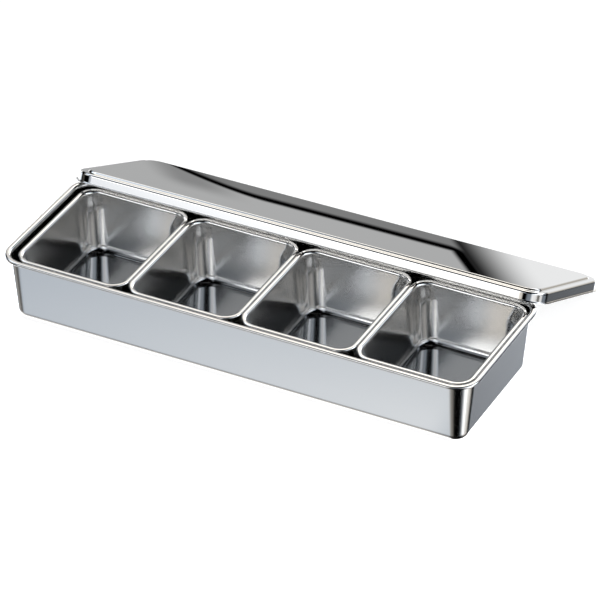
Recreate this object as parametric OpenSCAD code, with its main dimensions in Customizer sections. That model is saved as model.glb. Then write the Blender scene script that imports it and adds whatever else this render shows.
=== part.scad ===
// Condiment set of pressed stainless sheet: a long tray, four lift-out pans in a row, and a lift-off
// cover that leans behind the tray with its front edge on the rear rim and its rear edge on the table.
// The origin is the middle of the tray's underside. X runs along the row, Y to the rear, Z up.

/* [Pans] */
// Length of one pan along the row, over its rim
pan_length = 76.8; // [60:0.1:100]
// Width of one pan from front to rear, over its rim
pan_width = 95.4; // [80:0.1:130]
// Height of one pan
pan_height = 42.6; // [36:0.1:50]
// Sheet thickness of a pan
pan_sheet = 0.6; // [0.4:0.05:0.7]
// Slope of a pan's walls from upright, in degrees
pan_slope = 5.4; // [3:0.1:6]
// Outside radius between a pan's floor and its walls
pan_bend = 5.6; // [3:0.1:6]
// How far a pan's rim stands out from its wall
pan_rim = 2; // [1.8:0.05:2.4]
// Radius under the bend from a pan's wall to its rim
pan_rim_bend = 0.5; // [0.3:0.05:0.6]
// Radius inside the curled edge of a pan's rim
pan_curl = 0.25; // [0.1:0.05:0.35]

/* [Tray] */
// Corner radius of the tray, over its rim
tray_corner = 15.8; // [14:0.1:20]
// Sheet thickness of the tray
tray_sheet = 0.7; // [0.5:0.05:0.9]
// Slope of the tray's walls from upright, in degrees
tray_slope = 5.1; // [3:0.1:5.4]
// Outside radius between the tray's floor and its walls
tray_bend = 7.5; // [4:0.1:8]
// How far the tray's rim stands out from its wall
tray_rim = 3.5; // [3:0.05:4.2]
// Radius under the bend from the tray's wall to its rim
tray_rim_bend = 1.3; // [0.8:0.05:1.4]
// Radius inside the curled edge of the tray's rim
tray_curl = 0.4; // [0.2:0.05:0.5]

/* [Fits between pans and tray] */
// Gap between the rims of two pans
pan_gap = 0.3; // [0.3:0.05:1]
// Gap at the left end of the row, at the tray's mouth
left_gap = 2.6; // [0.8:0.1:4]
// Gap at the right end of the row, at the tray's mouth
right_gap = 0.9; // [0.8:0.1:4]
// Gap in front of the row, at the tray's mouth
front_gap = 3.4; // [0.8:0.1:5]
// Gap behind the row, at the tray's mouth
rear_gap = 0.8; // [0.8:0.1:5]
// How far the pans' rims stand below the tray's rim
rim_drop = 2.7; // [1:0.1:5]
// How much rounder a pan's rim is at its corners than the tray's mouth
corner_ease = 0.4; // [0:0.1:1]

/* [Cover] */
// Sheet thickness of the cover
cover_sheet = 0.5; // [0.4:0.05:0.7]
// Corner radius of the cover, over its skirt
cover_corner = 14; // [12:0.1:16]
// Gap between the cover's skirt and the tray's rim when the cover is on
cover_gap = 0.2; // [0.2:0.05:1]
// Height of the skirt, from its lower edge to the top of the border
skirt_height = 6.5; // [5:0.1:12]
// How far the turned-out lower edge stands out from the skirt
foot_width = 1.6; // [1:0.05:3]
// Radius inside the skirt's upper edge
skirt_bend = 1; // [0.5:0.05:1.5]
// Radius under the bend from the skirt to its turned-out edge
foot_bend = 0.9; // [0.75:0.05:1]
// Width of the border around the raised panel
border_width = 4.5; // [3:0.1:6]
// Height of the raised panel above the border
panel_rise = 1.2; // [0.8:0.05:1.6]
// Radius under the bends of the raised panel's step
step_bend = 0.6; // [0.3:0.05:0.8]
// Slope of the step, in degrees
step_slope = 50; // [40:1:60]

/* [Where the cover leans] */
// How far the cover's front edge reaches in over the tray's rear rim
cover_reach = 9; // [6:0.1:11]
// How far the cover stands to the left of the tray's middle
cover_left = 1.3; // [-4:0.1:4]
// Turn of the cover about the upright, in degrees
cover_turn = 0.4; // [-1:0.1:1]
// Gap between the cover and the rim or table that carries it
rest_gap = 0.2; // [0.1:0.05:0.5]

/* [Hidden] */
$fn = 96;

steel = [0.76, 0.77, 0.78];
pale_steel = [0.84, 0.85, 0.86];
pan_count = 4;
curl_turn = 270;

// The tray is as large as the row of pans, the gaps around it and its own rim
row_length = pan_count * pan_length + (pan_count - 1) * pan_gap;
tray_lip = tray_rim + tray_sheet;
tray_length = row_length + left_gap + right_gap + 2 * tray_lip;
tray_width = pan_width + front_gap + rear_gap + 2 * tray_lip;
tray_height = tray_sheet + pan_height + rim_drop;
pan_corner = tray_corner - tray_lip + corner_ease;

// Middle of the first pan in the row, and the step from one pan to the next
first_pan_x = left_gap + tray_lip - tray_length / 2 + pan_length / 2;
pan_y = tray_width / 2 - tray_lip - rear_gap - pan_width / 2;
pan_pitch = pan_length + pan_gap;

// The cover fits over the tray's rim
cover_lip = cover_gap + cover_sheet;
cover_length = tray_length + 2 * cover_lip;
cover_width = tray_width + 2 * cover_lip;
cover_depth = cover_width + foot_width;
cover_y = tray_width / 2 - cover_reach;

// The cover's two front corners cross the tray's rim. The widest crossing sets how high the front edge
// stands, and that height sets the tilt that lets the rear edge down to the table.
lean_guess = asin(tray_height / cover_depth);
crossing = max([for (side = [-1, 1], turn = [0 : 90]) crossing_depth(side, turn)]);
crossing_share = crossing / cover_depth;
cover_z = (tray_height + rest_gap * (1 - crossing_share)) / (1 - crossing_share);
cover_tilt = asin((cover_z - rest_gap) / cover_depth);

// Distance behind the cover's front edge of a point on the inside of its left or right front corner,
// or 0 where that point has passed the crest of the tray's curled rim
function crossing_depth(side, turn) =
    let (inside = cover_corner - cover_sheet)
    let (x = side * (cover_length / 2 - cover_corner + inside * sin(turn)))
    let (y = cover_corner - inside * cos(turn))
    let (level = y * cos(lean_guess))
    let (plan_x = x * cos(cover_turn) - level * sin(cover_turn) - cover_left)
    let (plan_y = cover_y + x * sin(cover_turn) + level * cos(cover_turn))
    let (past_x = max(abs(plan_x) - tray_length / 2 + tray_corner, 0))
    let (past_y = max(abs(plan_y) - tray_width / 2 + tray_corner, 0))
    norm([past_x, past_y]) < tray_corner - tray_curl - tray_sheet ? y : 0;

// Part of a ring between two radii, from one direction through a sweep to the left
module ring_part(inner, outer, from, sweep) {
    steps = 4;
    reach = 2 * outer;
    intersection() {
        difference() {
            circle(r = outer);
            circle(r = inner);
        }
        polygon(concat([[0, 0]], [for (i = [0 : steps])
            reach * [cos(from + sweep * i / steps), sin(from + sweep * i / steps)]]));
    }
}

// The next three modules follow a sheet through its section. The underside lies on the X axis, and each
// module hands on the sheet's end to its child.

// Straight length of sheet
module run(sheet, length) {
    square([length, sheet]);
    translate([length, 0]) children();
}

// Bend to the left, with the radius of the underside
module bend_up(sheet, radius, angle) {
    translate([0, radius]) {
        ring_part(radius - sheet, radius, -90, angle);
        rotate(angle) translate([0, -radius]) children();
    }
}

// Bend to the right, with the radius of the underside
module bend_down(sheet, radius, angle) {
    translate([0, -radius]) {
        ring_part(radius, radius + sheet, 90 - angle, angle);
        rotate(-angle) translate([0, radius]) children();
    }
}

// Sweeps a section around a rectangle of corner centres, and fills the rectangle with flat sheet
module pressed(span_x, span_y, sheet, flat_z) {
    for (quarter = [0 : 3]) {
        span = quarter % 2 == 0 ? [span_x, span_y] : [span_y, span_x];
        rotate(90 * quarter) translate(span / 2) {
            rotate_extrude(angle = 90) children();
            rotate([90, 0, 0]) linear_extrude(span[1]) children();
        }
    }
    translate([-span_x / 2, -span_y / 2, flat_z]) cube([span_x, span_y, sheet]);
}

// Deep-drawn vessel that stands on Z = 0, with a curled rim. Where the corner leaves too little room
// for the wanted bend at the floor, the bend is as large as fits.
module vessel(length, width, height, corner, sheet, draft, wanted_bend, rim, rim_bend, curl) {
    lean = 90 - draft;
    rise = 1 - cos(lean);
    slope = cos(lean) / sin(lean);
    room = corner - rim - slope * (height - sheet - rim_bend * rise);
    bend = min(wanted_bend, room / (sin(lean) - slope * rise));
    wall = (height - sheet - (bend + rim_bend) * rise) / sin(lean);
    base = corner - rim - bend * sin(lean) - wall * cos(lean);
    rim_flat = rim - rim_bend * sin(lean) - curl - sheet;
    pressed(length - 2 * corner, width - 2 * corner, sheet, 0)
        run(sheet, base)
        bend_up(sheet, bend, lean)
        run(sheet, wall)
        bend_down(sheet, rim_bend, lean)
        run(sheet, rim_flat)
        bend_down(sheet, curl, curl_turn);
}

// Long outer tray
module tray() {
    color(steel)
        vessel(tray_length, tray_width, tray_height, tray_corner, tray_sheet, tray_slope,
            tray_bend, tray_rim, tray_rim_bend, tray_curl);
}

// Inner pan, at its place in the row counted from the left
module pan(place) {
    color(pale_steel)
        translate([first_pan_x + (place - 1) * pan_pitch, pan_y, tray_sheet])
        vessel(pan_length, pan_width, pan_height, pan_corner, pan_sheet, pan_slope,
            pan_bend, pan_rim, pan_rim_bend, pan_curl);
}

// Cover lying flat, with its lower edge on Z = 0 and the front of its skirt on Y = 0
module flat_cover() {
    step_drop = (2 * step_bend + cover_sheet) * (1 - cos(step_slope));
    step_run = (panel_rise - step_drop) / sin(step_slope);
    step_width = (2 * step_bend + cover_sheet) * sin(step_slope) + step_run * cos(step_slope);
    panel_reach = cover_corner - border_width - step_width;
    border_run = border_width - skirt_bend - cover_sheet;
    skirt_run = skirt_height - cover_sheet - skirt_bend - foot_bend;
    foot_run = foot_width + cover_sheet - foot_bend;
    panel_z = skirt_height - cover_sheet + panel_rise;
    translate([0, cover_width / 2])
        pressed(cover_length - 2 * cover_corner, cover_width - 2 * cover_corner, cover_sheet, panel_z)
        translate([0, panel_z])
        run(cover_sheet, panel_reach)
        bend_down(cover_sheet, step_bend, step_slope)
        run(cover_sheet, step_run)
        bend_up(cover_sheet, step_bend + cover_sheet, step_slope)
        run(cover_sheet, border_run)
        bend_down(cover_sheet, skirt_bend, 90)
        run(cover_sheet, skirt_run)
        bend_up(cover_sheet, foot_bend, 90)
        run(cover_sheet, foot_run);
}

// Cover leaning behind the tray
module cover() {
    color(pale_steel)
        translate([-cover_left, cover_y, cover_z])
        rotate([0, 0, cover_turn])
        rotate([-cover_tilt, 0, 0])
        flat_cover();
}

tray();
pan(1);  // pan_1
pan(2);  // pan_2
pan(3);  // pan_3
pan(4);  // pan_4
cover();
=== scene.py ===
"""Looks for the stainless condiment set: tray, four pans and a leaning cover. Sizes are in mm unless said."""
import math

import bpy
import numpy as np
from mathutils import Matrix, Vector


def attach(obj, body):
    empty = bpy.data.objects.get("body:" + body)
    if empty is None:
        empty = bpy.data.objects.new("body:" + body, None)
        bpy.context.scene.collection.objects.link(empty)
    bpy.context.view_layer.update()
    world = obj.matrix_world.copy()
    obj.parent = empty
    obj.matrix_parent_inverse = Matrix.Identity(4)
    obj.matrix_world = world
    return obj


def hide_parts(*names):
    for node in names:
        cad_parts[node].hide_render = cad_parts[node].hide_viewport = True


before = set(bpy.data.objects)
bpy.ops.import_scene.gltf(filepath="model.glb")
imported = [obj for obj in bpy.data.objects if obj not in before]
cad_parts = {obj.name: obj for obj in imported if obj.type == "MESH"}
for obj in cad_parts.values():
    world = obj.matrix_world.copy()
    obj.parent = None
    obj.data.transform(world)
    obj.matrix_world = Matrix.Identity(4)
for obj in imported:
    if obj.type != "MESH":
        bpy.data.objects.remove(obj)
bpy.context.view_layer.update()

MM = 0.001
PANS = ["pan_1", "pan_2", "pan_3", "pan_4"]


# --- Pressed sheet --------------------------------------------------------------------------------

class Section:
    """Follows a sheet outwards through its section, and keeps the points and normals of both faces."""

    def __init__(self, sheet, height):
        self.sheet = sheet
        self.place = np.array([0.0, height])
        self.angle = 0.0
        self.faces = {"top": [], "under": []}
        self._keep()

    def _keep(self):
        ahead = np.array([math.cos(self.angle), math.sin(self.angle)])
        left = np.array([-ahead[1], ahead[0]])
        self.faces["top"].append((self.place + self.sheet * left, left))
        self.faces["under"].append((self.place.copy(), -left))

    def run(self, length, parts=1):
        """Straight length of sheet."""
        step = length / parts * np.array([math.cos(self.angle), math.sin(self.angle)])
        for _ in range(parts):
            self.place = self.place + step
            self._keep()
        return self

    def bend(self, radius, degrees, parts):
        """Bend with the radius of the underside: to the left for positive degrees, else to the right."""
        side = 1 if degrees > 0 else -1
        left = np.array([-math.sin(self.angle), math.cos(self.angle)])
        centre = self.place + side * radius * left
        for _ in range(parts):
            self.angle += math.radians(degrees) / parts
            left = np.array([-math.sin(self.angle), math.cos(self.angle)])
            self.place = centre - side * radius * left
            self._keep()
        return self

    def closed(self, parts=4):
        """All points and normals, from the middle out along the top, round the edge and back underneath."""
        end, end_normal = self.faces["top"][-1]
        other = self.faces["under"][-1][0]
        middle, start = (end + other) / 2, math.atan2(end_normal[1], end_normal[0])
        edge = []
        for i in range(1, parts):
            turn = start - math.pi * i / parts
            normal = np.array([math.cos(turn), math.sin(turn)])
            edge.append((middle + self.sheet / 2 * normal, normal))
        return self.faces["top"] + edge + self.faces["under"][::-1]


def ring(span_x, span_y, arc_parts, cell):
    """Rays round a rectangle with round corners, and how many cells lie along its sides.

    Each ray is (centre, direction, quarter, cell along the side). All of a corner's rays share its centre."""
    cells_x, cells_y = (max(2, round(span / cell)) for span in (span_x, span_y))
    half = np.array([span_x, span_y]) / 2
    corners = [half * sides for sides in ((1, 1), (-1, 1), (-1, -1), (1, -1))]
    out = []
    for quarter in range(4):
        here, there = corners[quarter], corners[(quarter + 1) % 4]
        cells = cells_x if quarter % 2 == 0 else cells_y
        for i in range(arc_parts):
            turn = math.pi / 2 * (quarter + i / arc_parts)
            out.append((here, np.array([math.cos(turn), math.sin(turn)]), quarter, 0))
        turn = math.pi / 2 * (quarter + 1)
        for i in range(cells):
            out.append((here + (there - here) * i / cells, np.array([math.cos(turn), math.sin(turn)]), quarter, i))
    return out, cells_x, cells_y


def pressed(
    name, section, span_x, span_y, place=None, ease=0, ease_top=1, ease_height=1, flat=1, arc_parts=24, cell=8
):
    """Mesh object of a sheet swept round a rectangle, with exact normals.

    The corners get rounder by ease over ease_height below ease_top, and stay so. The sides stay in place.
    flat is the corner's radius where the floor is still flat."""
    profile = section.closed()
    rays, cells_x, cells_y = ring(span_x, span_y, arc_parts, cell)
    points, normals, faces = [], [], []
    half = np.array([span_x, span_y]) / 2
    span_x, span_y = span_x - 2 * ease, span_y - 2 * ease

    def grid(height, up):
        """Flat middle of one face of the sheet."""
        first = len(points)
        for j in range(cells_y + 1):
            for i in range(cells_x + 1):
                points.append((span_x * (i / cells_x - 0.5), span_y * (j / cells_y - 0.5), height))
                normals.append((0, 0, up))
        for j in range(cells_y):
            for i in range(cells_x):
                a = first + j * (cells_x + 1) + i
                quad = [a, a + 1, a + cells_x + 2, a + cells_x + 1]
                faces.append(quad if up > 0 else quad[::-1])
        return first

    def border(first, quarter, i):
        """Point of a grid's edge that a ray starts from."""
        column, row = [(cells_x - i, cells_y), (0, cells_y - i), (i, 0), (cells_x, i)][quarter]
        return first + row * (cells_x + 1) + column

    top = grid(profile[0][0][1], 1)
    bottom = grid(profile[-1][0][1], -1)
    inner = profile[1:-1]
    start = len(points)
    for centre, direction, _, _ in rays:
        in_corner = np.abs(direction).sum() - 1
        for (r, z), (across, up) in inner:
            share = min(max((ease_top - z) / ease_height, 0), 1)
            eased = ease * share * share * (3 - 2 * share)
            reach = r + eased if r > flat else r * (1 + eased / flat)
            points.append((*(centre * (1 - eased / half) + reach * direction), z))
            lean = ease / ease_height * 6 * share * (1 - share) * in_corner
            normals.append((*(across * direction), up - across * lean))
    for k, (_, _, quarter, i) in enumerate(rays):
        after = (k + 1) % len(rays)
        here, there = start + k * len(inner), start + after * len(inner)
        lines = []
        for base, (q, n) in ((here, (quarter, i)), (there, rays[after][2:])):
            lines.append([border(top, q, n), *range(base, base + len(inner)), border(bottom, q, n)])
        for a, b, c, d in zip(lines[0], lines[0][1:], lines[1][1:], lines[1]):
            faces.append(list(dict.fromkeys((a, b, c, d))))
    return solid(name, np.array(points), np.array(normals), faces, place)


def solid(name, points, normals, faces, place):
    """Mesh object from points and normals. place puts it where the CAD has it."""
    if place is not None:
        points, normals = moved(points, normals, place)
    mesh = bpy.data.meshes.new(name)
    mesh.from_pydata((points * MM).tolist(), [], faces)
    mesh.polygons.foreach_set("use_smooth", [True] * len(mesh.polygons))
    mesh.normals_split_custom_set_from_vertices(normals.tolist())
    mesh.validate(verbose=False)
    made = bpy.data.objects.new(name, mesh)
    bpy.context.scene.collection.objects.link(made)
    return made


def moved(points, normals, step, reach=0.01):
    """Points and normals after a smooth map of space. The normals turn with the map's own slope."""
    columns = [(step(points + reach * axis) - step(points - reach * axis)) / (2 * reach) for axis in np.eye(3)]
    slope = np.stack(columns, axis=2)
    turned = np.einsum("nji,nj->ni", np.linalg.inv(slope), normals)
    return step(points), turned / np.linalg.norm(turned, axis=1, keepdims=True)


def vessel(
    name, place, length, width, height, corner, sheet, draft, bend, rim, rim_bend, curl, ease=0, ease_height=1
):
    """Deep-drawn vessel with a curled rim. Its bends are bend at the floor, rim_bend under the rim and the curl."""
    lean = 90 - draft
    lean_rad = math.radians(lean)
    wall = (height - sheet - (bend + rim_bend) * (1 - math.cos(lean_rad))) / math.sin(lean_rad)
    base = corner - rim - bend * math.sin(lean_rad) - wall * math.cos(lean_rad)
    rim_flat = rim - rim_bend * math.sin(lean_rad) - curl - sheet
    section = Section(sheet, 0).run(base).bend(bend, lean, 18).run(wall, 14).bend(rim_bend, -lean, 16)
    section.run(rim_flat).bend(curl, -CURL_TURN, 24)
    span_x, span_y = length - 2 * corner, width - 2 * corner
    return pressed(name, section, span_x, span_y, place, ease, height - sheet, ease_height, base)


def standing(x, y, z):
    """Puts a pan at its place, and narrows it in x by PAN_TAPER of its length down to the floor."""
    def place(points):
        depth = np.clip(1 - points[:, 2] / PAN["height"], 0, 1)
        as_is = np.ones_like(depth)
        return points * np.stack([1 - PAN_TAPER * depth, as_is, as_is], axis=1) + np.array([x, y, z])
    return place


CURL_TURN = 262
TRAY = dict(
    length=320, width=108, height=46, corner=15.8, sheet=0.7, draft=5.1, bend=7.5, rim=3.5, rim_bend=1.3, curl=0.4,
)
# The draft, taper, rim bend and ease of the pans differ from the solids': they follow what the photo's walls mirror
PAN = dict(
    length=76.8, width=95.4, height=42.6, corner=12, sheet=0.6, draft=2.5, bend=5.6, rim=3, rim_bend=1.3, curl=0.25,
    ease=4.5, ease_height=12,
)
PAN_TAPER = 0.03
FIRST_PAN_X = -114.8
PAN_PITCH = 77.1
PAN_Y = 1.3
COVER = dict(length=321.4, width=109.4, corner=14, sheet=0.5)
COVER_PLACE = (-1.3, 45.0, 47.6367)
COVER_TILT = 25.3
COVER_TURN = 0.4


def leaning(points):
    """Puts the flat cover where it leans behind the tray."""
    tilt, turn = math.radians(COVER_TILT), math.radians(COVER_TURN)
    x, y, z = points.T
    y, z = y * math.cos(tilt) + z * math.sin(tilt), z * math.cos(tilt) - y * math.sin(tilt)
    x, y = x * math.cos(turn) - y * math.sin(turn), x * math.sin(turn) + y * math.cos(turn)
    return np.stack([x, y, z], axis=1) + np.array(COVER_PLACE)


def cover(name):
    """Shallow pressed cover: raised panel, border, skirt and turned-out edge."""
    sheet, corner = COVER["sheet"], COVER["corner"]
    skirt_height, foot_width, skirt_bend, foot_bend = 6.5, 1.6, 1.0, 0.9
    border_width, panel_rise, step_bend, slope = 4.5, 1.2, 0.6, 50
    slope_rad = math.radians(slope)
    step_drop = (2 * step_bend + sheet) * (1 - math.cos(slope_rad))
    step_run = (panel_rise - step_drop) / math.sin(slope_rad)
    step_width = (2 * step_bend + sheet) * math.sin(slope_rad) + step_run * math.cos(slope_rad)
    section = Section(sheet, skirt_height - sheet + panel_rise)
    section.run(corner - border_width - step_width, 2).bend(step_bend, -slope, 6).run(step_run)
    section.bend(step_bend + sheet, slope, 6).run(border_width - skirt_bend - sheet, 2).bend(skirt_bend, -90, 12)
    section.run(skirt_height - sheet - skirt_bend - foot_bend, 2).bend(foot_bend, 90, 10)
    section.run(foot_width + sheet - foot_bend - sheet / 2)

    def forward(points):
        """Puts the cover's front edge on the line that it leans about."""
        return leaning(points + np.array([0, COVER["width"] / 2, 0]))

    return pressed(name, section, COVER["length"] - 2 * corner, COVER["width"] - 2 * corner, forward, cell=5)


# --- Steel ----------------------------------------------------------------------------------------

def add(tree, kind, **settings):
    """New shader node. A key is one of the node's own settings, an input's name, or i and the input's number."""
    made = tree.nodes.new("ShaderNode" + kind)
    for key, value in settings.items():
        if hasattr(made, key):
            setattr(made, key, value)
            continue
        numbered = key[0] == "i" and key[1:].isdigit()
        socket = made.inputs[int(key[1:]) if numbered else key.replace("_", " ")]
        if isinstance(value, bpy.types.NodeSocket):
            tree.links.new(value, socket)
        else:
            socket.default_value = value
    return made


def math_node(tree, operation, a, b=0.0):
    return add(tree, "Math", operation=operation, i0=a, i1=b).outputs[0]


def line(tree, value, low, high, to_low, to_high):
    """Straight line of value between low and high, given as to_low to to_high."""
    return add(tree, "MapRange", i0=value, i1=low, i2=high, i3=to_low, i4=to_high).outputs[0]


def ramp(tree, value, low, high, to_low, to_high):
    """Smooth step of value between low and high, given as to_low to to_high."""
    return add(
        tree, "MapRange", interpolation_type="SMOOTHSTEP", i0=value, i1=low, i2=high, i3=to_low, i4=to_high
    ).outputs[0]


STAIN_SCALE = 22.0
GRAIN_SCALE = (25.0, 900.0, 900.0)
GRAIN_DEPTH = 0.00002
STAIN_DULLNESS = 0.97


def steel(name, colour, wall_rough, side_rough, flat_rough, grain):
    """Rolled and drawn stainless sheet: mirror-like where flat, satin where drawn, with faint stains and a grain.

    The roughness is wall_rough on front and rear walls, side_rough on left and right ones, flat_rough where level.
    The scales are per metre and the grain's depth is in metres."""
    material = bpy.data.materials.new(name)
    material.use_nodes = True
    tree = material.node_tree
    tree.nodes.clear()
    where = add(tree, "TexCoord").outputs["Object"]
    facing = add(tree, "SeparateXYZ", i0=add(tree, "NewGeometry").outputs["Normal"])
    level = math_node(tree, "ABSOLUTE", facing.outputs[2])
    side = ramp(tree, math_node(tree, "ABSOLUTE", facing.outputs[0]), 0.3, 0.9, wall_rough, side_rough)
    drawn = ramp(tree, level, 0.5, 0.95, 1.0, 0.0)
    stains = add(tree, "TexNoise", Vector=where, Scale=STAIN_SCALE, Detail=4.0, Roughness=0.6).outputs[0]
    stretched = add(tree, "Mapping", Vector=where, Scale=GRAIN_SCALE).outputs[0]
    fine = add(tree, "TexNoise", Vector=stretched, Scale=1.0, Detail=3.0, Roughness=0.6).outputs[0]
    rough = line(tree, drawn, 0.0, 1.0, flat_rough, side)
    rough = math_node(tree, "MULTIPLY", rough, line(tree, stains, 0.3, 0.7, 0.96, 1.04))
    rough = math_node(tree, "ADD", rough, line(tree, fine, 0.3, 0.7, -0.004, 0.004))
    dull = [c * STAIN_DULLNESS for c in colour]
    tone = add(tree, "Mix", data_type="RGBA", factor_mode="UNIFORM")
    tree.links.new(stains, tone.inputs["Factor"])
    tone.inputs[6].default_value = (*dull, 1)
    tone.inputs[7].default_value = (*colour, 1)
    bump = add(tree, "Bump", Strength=grain, Distance=GRAIN_DEPTH, Height=fine).outputs[0]
    shader = add(tree, "BsdfPrincipled", Metallic=1.0, Base_Color=tone.outputs[2], Roughness=rough, Normal=bump)
    tree.links.new(shader.outputs[0], add(tree, "OutputMaterial").inputs[0])
    return material


# --- Pieces ---------------------------------------------------------------------------------------

BRIGHT = (0.7, 0.695, 0.685)
tray_steel = steel("tray_steel", (0.66, 0.655, 0.645), wall_rough=0.18, side_rough=0.18, flat_rough=0.08, grain=0.03)
pan_steel = steel("pan_steel", BRIGHT, wall_rough=0.2, side_rough=0.16, flat_rough=0.04, grain=0.0)
cover_steel = steel("cover_steel", BRIGHT, wall_rough=0.06, side_rough=0.06, flat_rough=0.015, grain=0.0)


def finish(piece, body, material, node):
    piece.data.materials.append(material)
    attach(piece, body)
    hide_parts(node)


finish(vessel("tray_sheet", None, **TRAY), "tray", tray_steel, "tray")
for number, pan in enumerate(PANS):
    place = standing(FIRST_PAN_X + number * PAN_PITCH, PAN_Y, TRAY["sheet"])
    finish(vessel(f"{pan}_sheet", place, **PAN), pan, pan_steel, pan)
finish(cover("cover_sheet"), "cover", cover_steel, "cover")


# --- Studio ---------------------------------------------------------------------------------------

# Soft lights that the steel sees: azimuth, elevation, width, level and tint. The levels were fitted to the photo by
# least squares, and report.md says what that means for the rule on picture data
WHITE, COOL, BLUE, WARM = (1, 1, 1), (0.92, 0.985, 1.08), (0.86, 0.98, 1.14), (1.05, 1, 0.92)
STUDIO = [
    # high over the table
    (-154, 50, 13, 2.5, WARM), (-103, 50, 13, 2.18, BLUE), (-30, 50, 13, 0.25, COOL),
    # behind the set and on its sides, above it
    (0, 38, 8, 0.71, WHITE), (-170, 37, 9, 1.43, WARM), (-12, 32, 8, 0.9, BLUE), (12, 32, 8, 0.68, BLUE),
    # level with the set
    (-154, 24, 13, 0.55, WHITE), (-68, 24, 13, 1.21, WHITE), (-45, 24, 10, 0.23, BLUE), (-22, 24, 8, 3.3, WHITE),
    (68, 24, 13, 1.15, BLUE), (90, 24, 13, 2.13, COOL), (112, 24, 13, 4.36, COOL), (158, 24, 13, 1.49, COOL),
    (180, 24, 10, 4.5, WHITE), (-30, 16, 8, 0.7, COOL), (-10, 16, 8, 0.9, WARM), (36, 8, 13, 0.3, BLUE),
    (60, 8, 13, 1.19, WHITE), (84, 8, 13, 0.4, WARM),
    # low behind the set
    (-132, -10, 13, 4.5, WHITE), (-108, -10, 13, 1.62, COOL), (180, -10, 13, 0.76, WARM),
    # the pale table
    (-156, -27, 13, 1.85, WARM), (-132, -27, 13, 3.93, COOL), (84, -27, 13, 4.5, WHITE), (108, -27, 13, 0.29, BLUE),
    (158, -27, 13, 0.13, COOL), (180, -27, 13, 1.53, COOL), (-156, -43, 13, 4.5, WHITE), (-36, -43, 13, 0.65, BLUE),
    (-12, -43, 13, 0.28, WARM), (84, -43, 13, 0.24, BLUE), (108, -43, 13, 0.76, WARM), (-150, -58, 16, 0.95, WHITE),
    (-100, -58, 16, 1.12, WHITE),
]

# Painted reflection: a pale card made as a glow on the table behind the set, which only the steel sees and the cover's
# panel mirrors, with a dark edge, a dim band round it and brighter painted light on its right. The slant and bend below
# shape its outline left of its left end
PAINTED_CARD_FRONT = 203
PAINTED_CARD_RIGHT = 40
PAINTED_CARD_CORNER = 5
PAINTED_CARD_LEFT = -100
PAINTED_CARD_SLANT = 0.0165
PAINTED_CARD_BEND = 1.8
PAINTED_CARD_LEVEL = 0.5
PAINTED_CARD_EDGE = (-8, -2)
PAINTED_BAND_LEVEL = 0.25
PAINTED_BAND_EDGE = (2, 10)
RIGHT_LEVEL = 1.0
RIGHT_EDGE = (42, 96)
RIGHT_BLEND = (39, 47)

# Painted shade: a darker patch on the painted card: where it comes and goes in x, where it ends in y, and how dark it
# is
PATCH_LEFT = (-190, -160)
PATCH_RIGHT = (-150, -110)
PATCH_REAR = (205, 232)
PATCH_DARKNESS = 0.4

# The table behind the set is opaque to the steel within these edges, where it shows the painted card reflection
BEHIND_FRONT = (125, 150)
BEHIND_RIGHT = (146, 156)

# Painted light: a glowing strip on the floor in front of the set, which only the steel sees
STRIP_LEVEL = 0.299
STRIP_REAR = (-45, -30)
STRIP_RIGHT = (124, 152)

# The floor as the camera sees it: half the side of the sheet in metres, its own light and its share, and its grey
FLOOR_REACH = 12
FLOOR_LIGHT = 1.25
FLOOR_SHARE = 0.7
FLOOR_GREY = 0.82

# The camera's heading, its distance and what it looks at in metres, and its focal length in the photo's pixels
CAMERA_HEADING = (26.82, 33.63)
CAMERA_DISTANCE = 2.67845
CAMERA_LOOK = (-0.003873, 0.050621, 0)
FOCAL_PIXELS = 4304.22
IMAGE_PIXELS = 600
SENSOR = 36


def direction(azimuth, elevation):
    """Unit vector from the object. Azimuth 0 is in front (-Y) and grows towards +X, in degrees."""
    az, el = math.radians(azimuth), math.radians(elevation)
    return Vector((math.sin(az) * math.cos(el), -math.cos(az) * math.cos(el), math.sin(el)))


def place_camera():
    data = bpy.data.cameras.new("camera")
    data.lens, data.sensor_width = SENSOR * FOCAL_PIXELS / IMAGE_PIXELS, SENSOR
    data.clip_start, data.clip_end = 0.1, 50
    camera = bpy.data.objects.new("camera", data)
    bpy.context.scene.collection.objects.link(camera)
    towards = direction(*CAMERA_HEADING)
    camera.location = Vector(CAMERA_LOOK) + CAMERA_DISTANCE * towards
    camera.rotation_euler = (-towards).to_track_quat("-Z", "Y").to_euler()
    bpy.context.scene.camera = camera


def glow(tree, heading, so_far, azimuth, elevation, width, level, colour):
    """Adds one soft light to the studio that the steel sees. Its level falls to 0 at 1.6 times its width."""
    towards = tuple(direction(azimuth, elevation))
    near = add(tree, "VectorMath", operation="DOT_PRODUCT", i0=heading, i1=towards).outputs["Value"]
    shape = ramp(tree, near, math.cos(math.radians(1.6 * width)), 1.0, 0.0, 1.0)
    light = tuple(level * c for c in colour)
    return add(tree, "VectorMath", operation="MULTIPLY_ADD", i0=shape, i1=light, i2=so_far).outputs[0]


def light_world():
    """White for the camera. The steel sees a dark room with the soft lights in it."""
    world = bpy.data.worlds.new("studio")
    bpy.context.scene.world = world
    world.use_nodes = True
    world.cycles.sampling_method = "NONE"
    tree = world.node_tree
    tree.nodes.clear()
    heading = add(tree, "TexCoord").outputs["Generated"]
    light = (0, 0, 0)
    for azimuth, elevation, width, level, colour in STUDIO:
        light = glow(tree, heading, light, azimuth, elevation, width, level, colour)
    seen = add(tree, "Mix", data_type="RGBA")
    tree.links.new(add(tree, "LightPath").outputs["Is Camera Ray"], seen.inputs[0])
    tree.links.new(light, seen.inputs[6])
    seen.inputs[7].default_value = (1, 1, 1, 1)
    background = add(tree, "Background", Color=seen.outputs[2], Strength=1.0)
    tree.links.new(background.outputs[0], add(tree, "OutputWorld").inputs[0])


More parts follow.
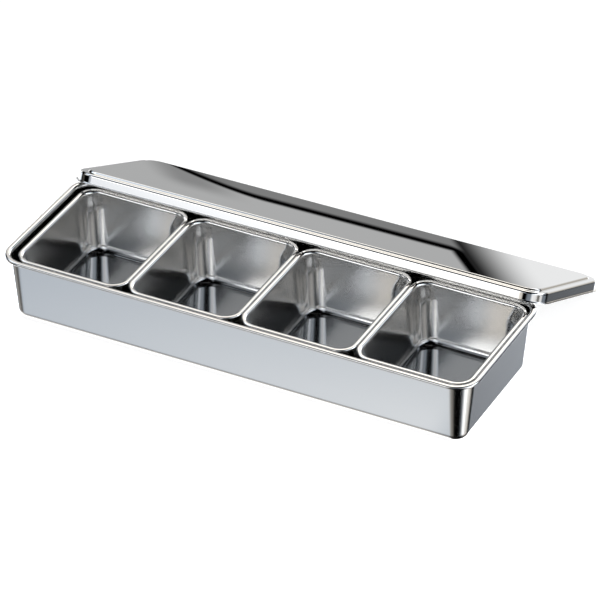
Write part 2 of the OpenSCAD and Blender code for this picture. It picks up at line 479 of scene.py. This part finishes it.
def distance_to_painted_card(tree, x, y):
    """Distance in mm from the edge of the painted card reflection on the table behind the set, negative on the card."""
    left = math_node(tree, "MAXIMUM", math_node(tree, "SUBTRACT", PAINTED_CARD_LEFT, x), 0.0)
    bend = math_node(tree, "MULTIPLY", math_node(tree, "POWER", left, PAINTED_CARD_BEND), PAINTED_CARD_SLANT)
    past_right = math_node(tree, "SUBTRACT", x, PAINTED_CARD_RIGHT - PAINTED_CARD_CORNER)
    past_front = math_node(tree, "SUBTRACT", PAINTED_CARD_FRONT + PAINTED_CARD_CORNER, math_node(tree, "ADD", y, bend))
    beyond = [math_node(tree, "MAXIMUM", past, 0.0) for past in (past_right, past_front)]
    outside = add(tree, "CombineXYZ", i0=beyond[0], i1=beyond[1])
    away = add(tree, "VectorMath", operation="LENGTH", i0=outside.outputs[0]).outputs["Value"]
    within = math_node(tree, "MINIMUM", math_node(tree, "MAXIMUM", past_right, past_front), 0.0)
    return math_node(tree, "SUBTRACT", math_node(tree, "ADD", away, within), PAINTED_CARD_CORNER)


def painted_card_reflection(tree, x, y):
    """Painted reflection that the cover's panel mirrors: the glowing pale card with its dark edge, and brighter painted
    light on the table on its right.
    """
    away = distance_to_painted_card(tree, x, y)
    inside = ramp(tree, away, *PAINTED_CARD_EDGE, PAINTED_CARD_LEVEL, 0.0)
    painted_card = math_node(tree, "ADD", inside, ramp(tree, away, *PAINTED_BAND_EDGE, 0.0, PAINTED_BAND_LEVEL))
    across = math_node(tree, "MULTIPLY", ramp(tree, x, *PATCH_LEFT, 0.0, 1.0), ramp(tree, x, *PATCH_RIGHT, 1.0, 0.0))
    patch = math_node(tree, "MULTIPLY", across, ramp(tree, y, *PATCH_REAR, PATCH_DARKNESS, 0.0))
    painted_card = math_node(tree, "MULTIPLY", painted_card, math_node(tree, "SUBTRACT", 1.0, patch))
    right = ramp(tree, x, *RIGHT_EDGE, 0.0, RIGHT_LEVEL)
    return add(tree, "Mix", data_type="FLOAT", i0=ramp(tree, x, *RIGHT_BLEND, 0.0, 1.0), i2=painted_card, i3=right).outputs[0]


def lay_floor():
    """Pale floor. The steel sees the studio's lower half there, a painted strip of light in front and a painted card
    reflection behind.
    """
    mesh = bpy.data.meshes.new("floor")
    corners = [(x * FLOOR_REACH, y * FLOOR_REACH, 0) for x, y in ((-1, -1), (1, -1), (1, 1), (-1, 1))]
    mesh.from_pydata(corners, [], [(0, 1, 2, 3)])
    floor = bpy.data.objects.new("floor", mesh)
    bpy.context.scene.collection.objects.link(floor)
    material = bpy.data.materials.new("floor")
    material.use_nodes = True
    tree = material.node_tree
    tree.nodes.clear()
    position = add(tree, "NewGeometry").outputs["Position"]
    in_mm = add(tree, "VectorMath", operation="SCALE", i0=position, Scale=1 / MM)
    place = add(tree, "SeparateXYZ", i0=in_mm.outputs[0])
    x, y = place.outputs[0], place.outputs[1]
    # Painted reflection: the glow of the card, which the floor behind the set shows to all rays but the camera's
    painted_card = add(tree, "Emission", Color=(0.99, 1, 1.01, 1), Strength=painted_card_reflection(tree, x, y)).outputs[0]
    # Painted light: the strip is brighter to the right and nearer the set
    along = math_node(tree, "MULTIPLY", line(tree, x, -155.0, 110.0, 0.4, 1.0), ramp(tree, x, *STRIP_RIGHT, 1.0, 0.0))
    along = math_node(tree, "MULTIPLY", along, line(tree, y, -100.0, -60.0, 0.6, 1.0))
    strip_level = math_node(tree, "MULTIPLY", ramp(tree, y, *STRIP_REAR, STRIP_LEVEL, 0.0), along)
    strip = add(tree, "Emission", Color=(*WARM, 1), Strength=strip_level).outputs[0]
    clear = tree.nodes.new("ShaderNodeAddShader")
    tree.links.new(add(tree, "BsdfTransparent").outputs[0], clear.inputs[0])
    tree.links.new(strip, clear.inputs[1])
    behind = math_node(tree, "MULTIPLY", ramp(tree, y, *BEHIND_FRONT, 0.0, 1.0), ramp(tree, x, *BEHIND_RIGHT, 1.0, 0.0))
    table = add(tree, "MixShader", i0=behind, i1=clear.outputs[0], i2=painted_card).outputs[0]
    matt = add(tree, "BsdfDiffuse", Color=(FLOOR_GREY, FLOOR_GREY, FLOOR_GREY, 1)).outputs[0]
    white = add(tree, "Emission", Color=(1, 1, 1, 1), Strength=FLOOR_LIGHT).outputs[0]
    seen = add(tree, "MixShader", i0=FLOOR_SHARE, i1=matt, i2=white).outputs[0]
    camera_ray = add(tree, "LightPath").outputs["Is Camera Ray"]
    mixed = add(tree, "MixShader", i0=camera_ray, i1=table, i2=seen).outputs[0]
    tree.links.new(mixed, add(tree, "OutputMaterial").inputs[0])
    mesh.materials.append(material)


def hang_key_lamp():
    """Lamp that shapes the floor's shadow. The steel doesn't mirror it. Its sizes are in metres."""
    data = bpy.data.lights.new("key_lamp", "AREA")
    data.shape, data.size, data.size_y = "RECTANGLE", 1.0, 0.8
    data.energy, data.color = 9, (1, 0.98, 0.95)
    lamp = bpy.data.objects.new("key_lamp", data)
    bpy.context.scene.collection.objects.link(lamp)
    towards = direction(50, 50)
    lamp.location = 1.6 * towards
    lamp.rotation_euler = towards.to_track_quat("Z", "Y").to_euler()
    lamp.visible_camera = lamp.visible_glossy = False


place_camera()
light_world()
lay_floor()
hang_key_lamp()

scene = bpy.context.scene
scene.view_settings.view_transform = "Standard"
scene.cycles.max_bounces = 16
scene.cycles.glossy_bounces = 12
scene.cycles.transparent_max_bounces = 16
